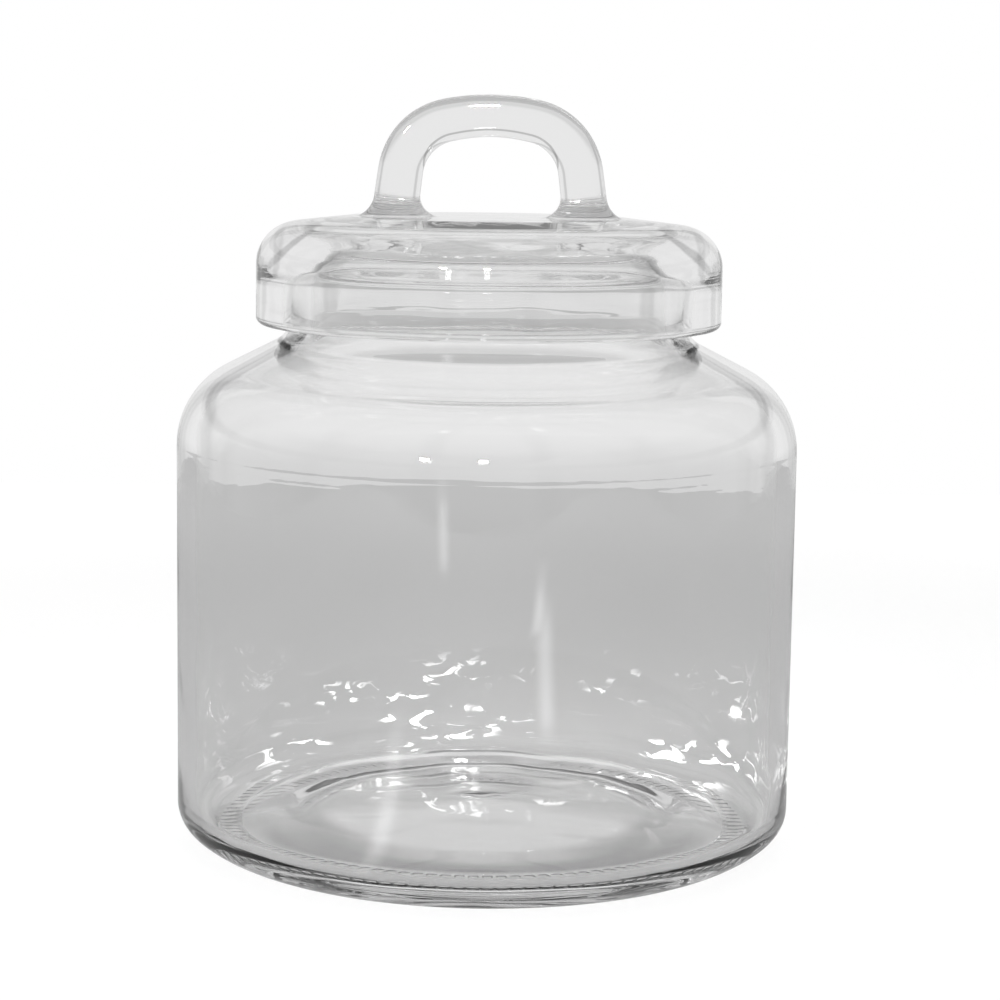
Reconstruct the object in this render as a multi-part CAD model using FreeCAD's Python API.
import FreeCAD, Part
import math
import os

# Glass storage jar with a loose glass lid. Millimetres, +Z up.
# The origin is on the surface the jar stands on, at the middle of its foot.
# The jar and the lid are bodies of revolution about Z. The lid's loop handle
# stands in the XZ plane. Every outline is given as sharp corners (radius from
# the axis, height) with the rounding that each corner takes.

# Jar, outside
BODY_RADIUS = 90.0          # straight wall
FOOT_OUTER = 80.1           # where the heel would meet the ground if it were sharp
FOOT_INNER = 69.5           # inner edge of the ring that the jar stands on
HEEL_HEIGHT = 8.3           # where the heel's slope leaves the wall
HEEL_UPPER_ROUND = 9.0
HEEL_LOWER_ROUND = 23.8
SHOULDER_HEIGHT = 132.9     # where the wall and the shoulder's slope would meet
SHOULDER_ROUND = 25.4
SHOULDER_SLOPE = math.radians(26.9)
NECK_RADIUS = 56.5
NECK_TOP = 173.5
NECK_FOOT_ROUND = 4.0

# Jar, glass thickness and inside
WALL = 5.6
NECK_WALL = 5.5
LIP_ROUND = 2.6
INNER_NECK_ROUND = 15.5
INNER_HEEL_ROUND = 6.0
FLOOR_HEIGHT = 8.5          # inside floor, beside the wall
VALLEY_RADIUS = 74.0        # where the inside floor turns up
VALLEY_ROUND = 12.0
DOME_RADIUS = 62.0          # shoulder of the raised middle of the inside floor
DOME_HEIGHT = 11.5
DOME_ROUND = 30.0
DOME_RISE = 1.5             # further rise from that shoulder to the middle
PUNT_RADIUS = 52.0          # shoulder of the hollow under the foot
PUNT_HEIGHT = 5.0
PUNT_ROUND = 70.0
PUNT_RISE = 2.0
PUNT_EDGE_ROUND = 0.6

# Lid
LID_RADIUS = 67.3
LID_RIM = 152.2             # underside of the lid's skirt
LID_TOP = 183.4             # flat middle that carries the handle
LID_FLAT_RADIUS = 41.0
LID_FALL = 3.0              # the top falls this much out to the skirt
LID_SHOULDER_ROUND = 12.2
LID_SKIRT_WALL = 7.7
LID_CEILING = 176.8
LID_CEILING_ROUND = 4.5
LID_SEAT_FOOT = 160.5       # the hollow narrows from here up to the ceiling and rests on the lip
LID_SEAT_FOOT_ROUND = 20.0
LID_SEAT_TOP_RADIUS = 55.0
LID_RIM_ROUND = 2.2

# Loop handle: the middle line of its bar, and the bar itself
LOOP_RISE = 28.9            # middle of the bar above the lid's flat, at the crown
LOOP_CROWN_ROUND = 58.4
LOOP_CORNER_ROUND = 17.0
LOOP_CORNER_START = math.radians(12.6)  # where the crown's arc ends, from upright
LOOP_LEG_LEAN = math.radians(7.7)
BAR_LEG_WIDTH = 13.0        # across the bar, in the plane of the loop
BAR_CROWN_WIDTH = 12.0
BAR_DEPTH = 12.0            # front to back
BAR_EDGE_ROUND = 3.6
LOOP_FOOT_FLARE = 5.5       # hollow round where the bar spreads into the lid


def vec(x, z):
    """A point of the XZ plane, in which all outlines are drawn."""
    return FreeCAD.Vector(x, 0, z)


def rounded_outline(corners):
    """Closed face in the XZ plane from (radius, height, rounding) corners."""
    edges = []
    ends = []
    count = len(corners)
    for i in range(count):
        r, z, rounding = corners[i]
        here = vec(r, z)
        before = vec(*corners[i - 1][:2]) - here
        after = vec(*corners[(i + 1) % count][:2]) - here
        before.normalize()
        after.normalize()
        if rounding == 0:
            ends.append((here, here))
            continue
        half = before.getAngle(after) / 2
        reach = rounding / math.tan(half)
        inward = before + after
        inward.normalize()
        centre = here + inward * (rounding / math.sin(half))
        start = here + before * reach
        end = here + after * reach
        edges.append(Part.Arc(start, centre - inward * rounding, end).toShape())
        ends.append((start, end))
    for i in range(count):
        leave = ends[i][1]
        arrive = ends[(i + 1) % count][0]
        if leave.distanceToPoint(arrive) > 1e-6:
            edges.append(Part.LineSegment(leave, arrive).toShape())
    wire = Part.Wire(Part.__sortEdges__(edges))
    return Part.Face(wire)


def turned(corners):
    """Body of revolution about Z."""
    face = rounded_outline(corners)
    return face.revolve(FreeCAD.Vector(0, 0, 0), FreeCAD.Vector(0, 0, 1), 360)


def shoulder_line(radius, depth=0.0):
    """Height of the shoulder's slope at a radius, or of a line that depth below it."""
    outside = SHOULDER_HEIGHT + (BODY_RADIUS - radius) * math.tan(SHOULDER_SLOPE)
    return outside - depth / math.cos(SHOULDER_SLOPE)


def make_jar():
    """Pot with a straight wall, a rounded heel, a sloping shoulder and a short neck."""
    inner = BODY_RADIUS - WALL
    mouth = NECK_RADIUS - NECK_WALL
    corners = [
        (0, PUNT_HEIGHT + PUNT_RISE, 0),
        (PUNT_RADIUS, PUNT_HEIGHT, PUNT_ROUND),
        (FOOT_INNER, 0, PUNT_EDGE_ROUND),
        (FOOT_OUTER, 0, HEEL_LOWER_ROUND),
        (BODY_RADIUS, HEEL_HEIGHT, HEEL_UPPER_ROUND),
        (BODY_RADIUS, SHOULDER_HEIGHT, SHOULDER_ROUND),
        (NECK_RADIUS, shoulder_line(NECK_RADIUS), NECK_FOOT_ROUND),
        (NECK_RADIUS, NECK_TOP, LIP_ROUND),
        (mouth, NECK_TOP, LIP_ROUND),
        (mouth, shoulder_line(mouth, WALL), INNER_NECK_ROUND),
        (inner, shoulder_line(inner, WALL), SHOULDER_ROUND - WALL),
        (inner, FLOOR_HEIGHT, INNER_HEEL_ROUND),
        (VALLEY_RADIUS, FLOOR_HEIGHT, VALLEY_ROUND),
        (DOME_RADIUS, DOME_HEIGHT, DOME_ROUND),
        (0, DOME_HEIGHT + DOME_RISE, 0),
    ]
    return turned(corners)


def make_lid_shell():
    """Thick lid whose skirt reaches down round the neck; its ceiling rests on the lip."""
    cavity = LID_RADIUS - LID_SKIRT_WALL
    corners = [
        (0, LID_CEILING, 0),
        (0, LID_TOP, 0),
        (LID_FLAT_RADIUS, LID_TOP, 0),
        (LID_RADIUS, LID_TOP - LID_FALL, LID_SHOULDER_ROUND),
        (LID_RADIUS, LID_RIM, LID_RIM_ROUND),
        (cavity, LID_RIM, LID_RIM_ROUND),
        (cavity, LID_SEAT_FOOT, LID_SEAT_FOOT_ROUND),
        (LID_SEAT_TOP_RADIUS, LID_CEILING, LID_CEILING_ROUND),
    ]
    return turned(corners)


def half_loop_path():
    """Middle line of the bar from the crown down the right leg, as tangent curves."""
    crown_centre = vec(0, LOOP_RISE - LOOP_CROWN_ROUND)
    corner_way = vec(math.sin(LOOP_CORNER_START), math.cos(LOOP_CORNER_START))
    corner_centre = crown_centre + corner_way * (LOOP_CROWN_ROUND - LOOP_CORNER_ROUND)

    def on_crown(angle):
        return crown_centre + vec(math.sin(angle), math.cos(angle)) * LOOP_CROWN_ROUND

    def on_corner(angle):
        return corner_centre + vec(math.sin(angle), math.cos(angle)) * LOOP_CORNER_ROUND

    leg_start_angle = math.pi / 2 - LOOP_LEG_LEAN
    middle = (LOOP_CORNER_START + leg_start_angle) / 2
    leg_start = on_corner(leg_start_angle)
    sunk = 2.0              # the leg ends this far inside the lid's glass
    leg_end = leg_start + vec(math.tan(LOOP_LEG_LEAN), -1) * (leg_start.z + sunk)
    return on_crown, on_corner, middle, leg_start_angle, leg_start, leg_end


def loop_edges():
    """Edges of the whole middle line, from the left leg's foot to the right one's."""
    on_crown, on_corner, middle, leg_angle, leg_start, leg_end = half_loop_path()

    def mirrored(point):
        return vec(-point.x, point.z)

    corner_start = on_crown(LOOP_CORNER_START)
    corner_middle = on_corner(middle)
    return [
        Part.LineSegment(mirrored(leg_end), mirrored(leg_start)).toShape(),
        Part.Arc(mirrored(leg_start), mirrored(corner_middle), mirrored(corner_start)).toShape(),
        Part.Arc(mirrored(corner_start), on_crown(0), corner_start).toShape(),
        Part.Arc(corner_start, corner_middle, leg_start).toShape(),
        Part.LineSegment(leg_start, leg_end).toShape(),
    ]


def bar_section(at, along, width):
    """Rounded rectangle round a point, square to the way the bar runs there."""
    across = FreeCAD.Vector(-along.z, 0, along.x)
    front = FreeCAD.Vector(0, 1, 0)
    flat_w = width / 2 - BAR_EDGE_ROUND
    flat_d = BAR_DEPTH / 2 - BAR_EDGE_ROUND
    cut = math.sqrt(0.5)
    edges = []
    signs = [(1, 1), (-1, 1), (-1, -1), (1, -1)]
    for i, (sw, sd) in enumerate(signs):
        centre = at + across * (sw * flat_w) + front * (sd * flat_d)
        side = across * (sw * BAR_EDGE_ROUND)
        face = front * (sd * BAR_EDGE_ROUND)
        first, last = (side, face) if i % 2 == 0 else (face, side)
        edges.append(Part.Arc(centre + first, centre + (side + face) * cut, centre + last).toShape())
        next_sw, next_sd = signs[(i + 1) % 4]
        next_centre = at + across * (next_sw * flat_w) + front * (next_sd * flat_d)
        shared = face if i % 2 == 0 else side
        edges.append(Part.LineSegment(centre + last, next_centre + shared).toShape())
    return Part.Wire(edges)


def make_loop():
    """Bar swept along the loop, wider at its feet than at the crown."""
    edges = loop_edges()
    left_foot = edges[0].Vertexes[0].Point
    right_foot = edges[-1].Vertexes[-1].Point
    left_way = edges[0].tangentAt(edges[0].FirstParameter)
    right_way = edges[-1].tangentAt(edges[-1].LastParameter)
    sweep = Part.BRepOffsetAPI.MakePipeShell(Part.Wire(edges))
    sweep.setBiNormalMode(FreeCAD.Vector(0, 1, 0))
    sweep.add(bar_section(left_foot, left_way, BAR_LEG_WIDTH))
    sweep.add(bar_section(vec(0, LOOP_RISE), vec(1, 0), BAR_CROWN_WIDTH))
    sweep.add(bar_section(right_foot, right_way, BAR_LEG_WIDTH))
    sweep.build()
    sweep.makeSolid()
    loop = sweep.shape()
    loop.translate(FreeCAD.Vector(0, 0, LID_TOP))
    return loop


def flare_feet(lid):
    """Hollow rounding along the seam between the bar's feet and the lid's flat."""
    seam = []
    for edge in lid.Edges:
        box = edge.BoundBox
        on_flat = abs(box.ZMin - LID_TOP) < 1e-3 and abs(box.ZMax - LID_TOP) < 1e-3
        if on_flat and box.DiagonalLength < 2 * BAR_LEG_WIDTH:
            seam.append(edge)
    return lid.makeFillet(LOOP_FOOT_FLARE, seam)


def make_lid():
    """Lid and loop handle in one piece of glass."""
    lid = make_lid_shell().fuse(make_loop())
    return flare_feet(lid)


def export(shape, name):
    """One closed solid per file."""
    solid = shape.Solids[0]
    print(name, "solids", len(shape.Solids), "valid", solid.isValid(),
          "volume cm3", round(solid.Volume / 1000, 1))
    solid.exportStep(f"parts/{name}.step")


os.makedirs("parts", exist_ok=True)
jar = make_jar()
lid = make_lid()
export(jar, "jar")
export(lid, "lid")
print("height", round(lid.BoundBox.ZMax, 2), "width", round(jar.BoundBox.XLength, 2))
print("jar and lid share mm3", round(jar.common(lid).Volume, 4),
      "gap", round(jar.distToShape(lid)[0], 3))
